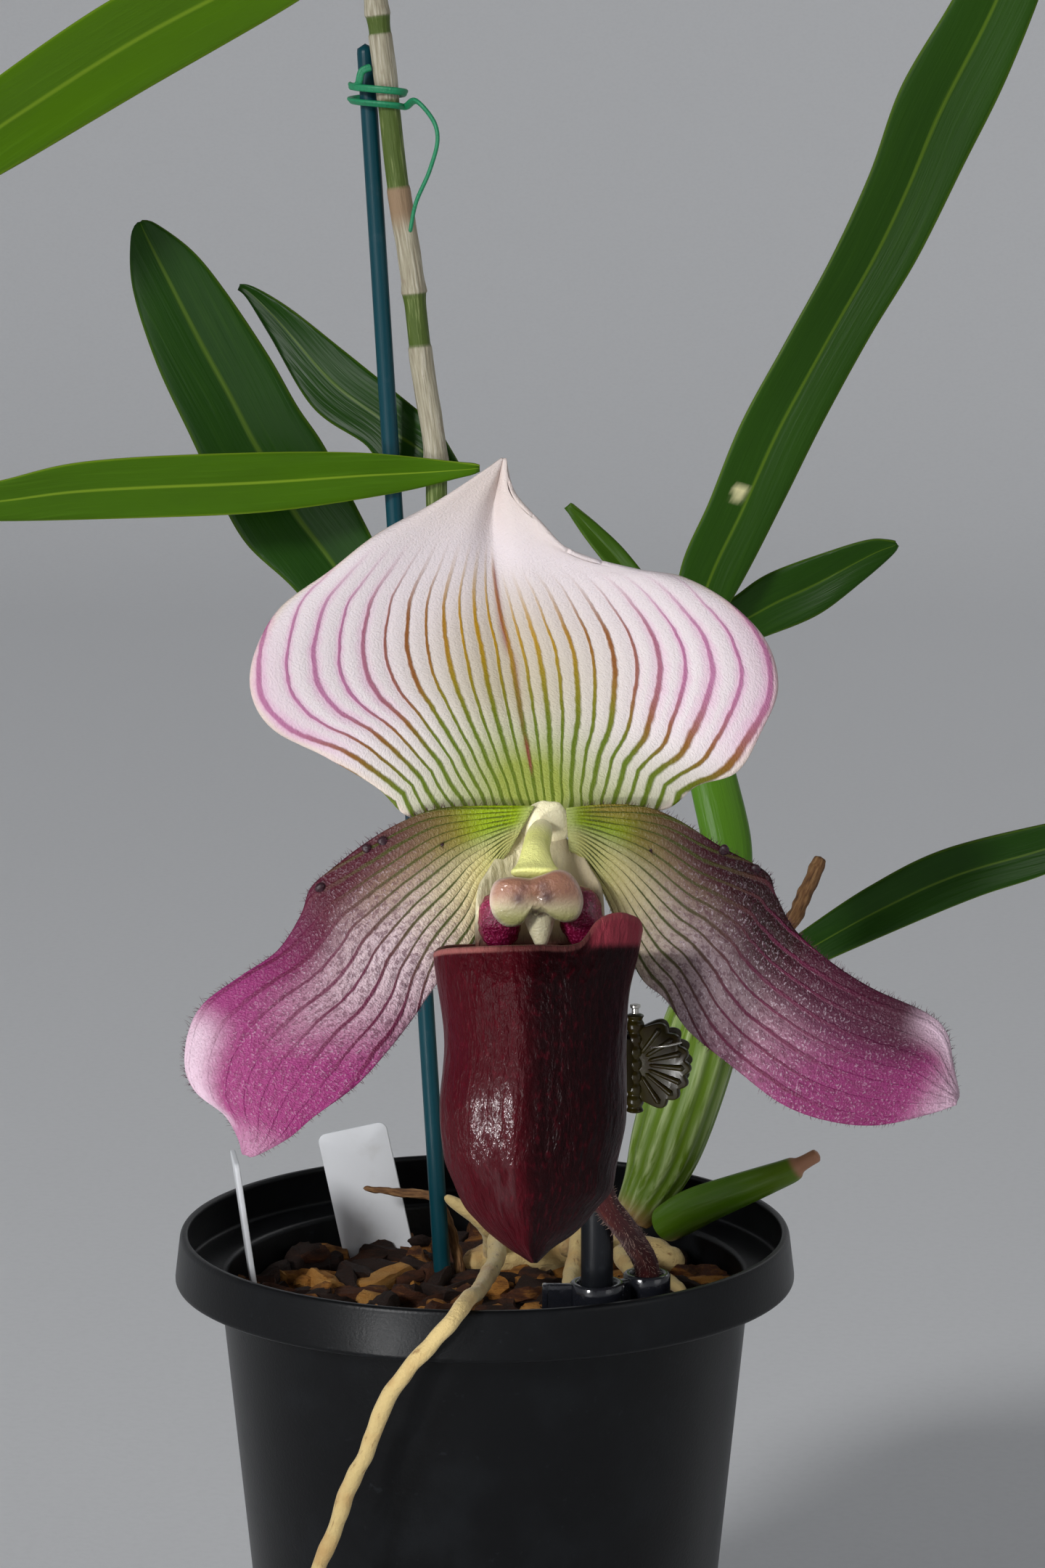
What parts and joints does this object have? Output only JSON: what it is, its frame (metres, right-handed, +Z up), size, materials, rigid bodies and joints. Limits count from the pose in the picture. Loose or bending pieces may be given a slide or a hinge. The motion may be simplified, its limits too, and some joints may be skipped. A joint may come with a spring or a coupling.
{
  "type": "potted lady's slipper orchid",
  "caption": "Potted lady's slipper orchid: striped dorsal sepal, two drooping petals and a dark pouch on a staked stem, with cane, bulbs and strap leaves in a black nursery pot.",
  "frame": {"origin": "middle of the pot's underside, where the pot stands", "axes": "+Z up along the pot's axis, the flower faces -Y, +X to the right seen from the front"},
  "size_m": [0.2039, 0.1571, 0.3279],
  "materials": {
    "pot_plastic": "semi-matt moulded",
    "bark": "rough",
    "black_plastic": "satin moulded",
    "teal_plastic": "satin moulded",
    "green_tie": "satin",
    "amber_plastic": "clear gloss",
    "tag_plastic": "matt",
    "sepal": "fine glistening cells",
    "petal": "waxy sheen",
    "pouch": "waxy gloss",
    "column": "waxy",
    "stem": "hairy",
    "bract": "hairy",
    "cane": "papery sheaths",
    "bulb": "satin",
    "leaf": "leathery, satin",
    "root": "dry, matt",
    "dry_root": "dry, matt"
  },
  "bodies": {
    "root": {"pot": "pot_plastic", "bark_mix": "bark", "rhizome_roots": "root", "aerial_root": "root", "dry_twig": "dry_root", "name_tag": "tag_plastic", "side_tag": "tag_plastic", "teal_stake": "teal_plastic", "black_stake": "black_plastic", "ring_clip": "black_plastic", "claw_clip": "amber_plastic", "twist_tie": "green_tie", "cane": "cane", "bulb_large": "bulb", "bulb_small": "bulb", "dried_stub": "dry_root", "leaf_upper_left": "leaf", "leaf_broad": "leaf", "leaf_broad_rear": "leaf", "leaf_level": "leaf", "leaf_long": "leaf", "leaf_side": "leaf", "leaf_short": "leaf", "leaf_low_right": "leaf", "flowering_stem": "stem", "bract": "bract", "dorsal_sepal": "sepal", "synsepal": "sepal", "petal_left": "petal", "petal_right": "petal", "pouch": "pouch", "column": "column"}
  },
  "joints": []
}
